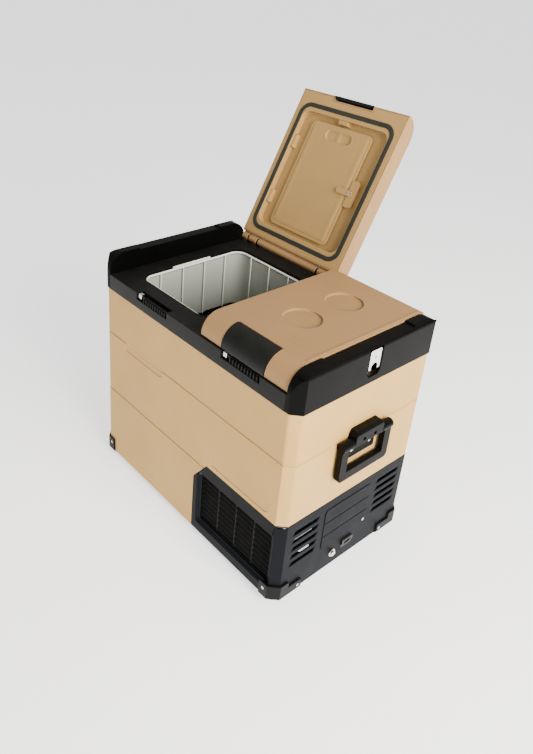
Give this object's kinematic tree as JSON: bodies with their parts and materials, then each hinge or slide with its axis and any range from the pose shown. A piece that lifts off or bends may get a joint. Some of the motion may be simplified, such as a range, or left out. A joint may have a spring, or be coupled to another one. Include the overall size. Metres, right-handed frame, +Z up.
{
  "type": "compressor cooler fridge",
  "caption": "Portable compressor cooler fridge with two hinged lids, wire baskets, a vented machine bay, drop-down carrying handles and corner guards.",
  "frame": {"origin": "centre of the cabinet's footprint, on the plane that the rubber feet stand on", "axes": "+Z up, +X along the length towards the machine bay, +Y towards the back where both lids are hinged"},
  "size_m": [0.642, 0.5756, 0.85],
  "materials": {
    "tan_shell": "fine-textured tan polypropylene",
    "tan_lid": "satin tan ABS",
    "black_plastic": "grained black ABS",
    "slate_plastic": "grained dark slate ABS",
    "liner_plastic": "smooth light grey polypropylene",
    "white_wire": "white plastic-coated steel wire",
    "lens": "frosted translucent polycarbonate",
    "steel": "zinc-plated steel",
    "bright_steel": "polished stainless steel",
    "copper_tube": "drawn copper tube",
    "aluminium": "pressed fin stock",
    "black_enamel": "satin black enamel",
    "rubber": "matt black rubber",
    "foam": "rigid polyurethane foam",
    "green_board": "solder-masked circuit board"
  },
  "bodies": {
    "cabinet": {"cabinet_shell": "tan_shell", "bay_bulkhead": "slate_plastic", "base_pan": "slate_plastic", "insulation_foam": "foam", "top_rim": "black_plastic", "end_cap_left": "black_plastic", "end_cap_right": "black_plastic", "liner_left": "liner_plastic", "liner_right": "liner_plastic", "evaporator_tubes": "copper_tube", "light_lenses": "lens", "basket_right": "white_wire", "compressor_housing": "slate_plastic", "grille_front": "black_plastic", "grille_back": "black_plastic", "service_cover": "slate_plastic", "housing_screws": "steel", "power_socket": "black_plastic", "fuse_holder": "steel", "corner_guard_front_left": "black_plastic", "corner_guard_front_right": "black_plastic", "corner_guard_back_left": "black_plastic", "corner_guard_back_right": "black_plastic", "guard_screws": "steel", "rubber_feet": "rubber", "striker_rods": "steel", "bottle_opener": "bright_steel", "opener_screw": "steel", "handle_bracket_left": "black_plastic", "handle_bracket_right": "black_plastic", "handle_pins": "steel", "handle_screws": "steel", "hinge_brackets": "black_plastic", "hinge_pins": "steel", "compressor": "black_enamel", "compressor_mounts": "rubber", "condenser": "aluminium", "fan_shroud": "black_plastic", "fan_motor": "slate_plastic", "control_board": "green_board"},
    "lid_left": {"lid_shell_left": "tan_lid", "lid_liner_left": "tan_lid", "lid_gasket_left": "rubber", "lid_foam_left": "foam", "storage_door": "tan_lid", "turn_latch_screw": "steel", "latch_pin_left": "steel"},
    "latch_left": {"latch_paddle_left": "black_plastic"},
    "turn_tab": {"turn_latch": "tan_lid"},
    "lid_right": {"lid_shell_right": "tan_lid", "lid_liner_right": "tan_lid", "lid_gasket_right": "rubber", "lid_foam_right": "foam", "latch_pin_right": "steel"},
    "latch_right": {"latch_paddle_right": "black_plastic"},
    "bail_left": {"handle_bail_left": "black_plastic"},
    "bail_right": {"handle_bail_right": "black_plastic"},
    "basket": {"basket_left": "white_wire"},
    "fan": {"fan_impeller": "slate_plastic"}
  },
  "joints": [
    {"name": "lid_left_hinge", "type": "hinge", "parent": "cabinet", "child": "lid_left", "pos_m": [-0.1175, 0.19, 0.5065], "axis": [-1, 0, 0], "range_deg": [-117, 0]},
    {"name": "lid_right_hinge", "type": "hinge", "parent": "cabinet", "child": "lid_right", "pos_m": [0.1555, 0.19, 0.5065], "axis": [-1, 0, 0], "range_deg": [0, 117]},
    {"name": "latch_left_pivot", "type": "hinge", "parent": "lid_left", "child": "latch_left", "pos_m": [-0.1175, 0.37187, 0.7989], "axis": [-1, 0, 0], "range_deg": [0, 26], "stiffness_Nm_per_rad": 0.05, "springref_deg": -28.65},
    {"name": "latch_right_pivot", "type": "hinge", "parent": "lid_right", "child": "latch_right", "pos_m": [0.1555, -0.1531, 0.5358], "axis": [-1, 0, 0], "range_deg": [0, 26], "stiffness_Nm_per_rad": 0.05, "springref_deg": -28.65},
    {"name": "turn_tab_pivot", "type": "hinge", "parent": "lid_left", "child": "turn_tab", "pos_m": [-0.026, 0.27042, 0.67203], "axis": [0, -0.891, 0.454], "range_deg": [0, 90]},
    {"name": "bail_left_pivot", "type": "hinge", "parent": "cabinet", "child": "bail_left", "pos_m": [-0.311, 0, 0.347], "axis": [0, 1, 0], "range_deg": [0, 95]},
    {"name": "bail_right_pivot", "type": "hinge", "parent": "cabinet", "child": "bail_right", "pos_m": [0.311, 0, 0.347], "axis": [0, -1, 0], "range_deg": [0, 95]},
    {"name": "basket_lift", "type": "slide", "parent": "cabinet", "child": "basket", "axis": [0, 0, 1], "range_m": [0, 0.43]},
    {"name": "fan_spin", "type": "hinge", "parent": "cabinet", "child": "fan", "pos_m": [0.134, -0.13, 0.11], "axis": [0, 1, 0], "continuous": true}
  ]
}
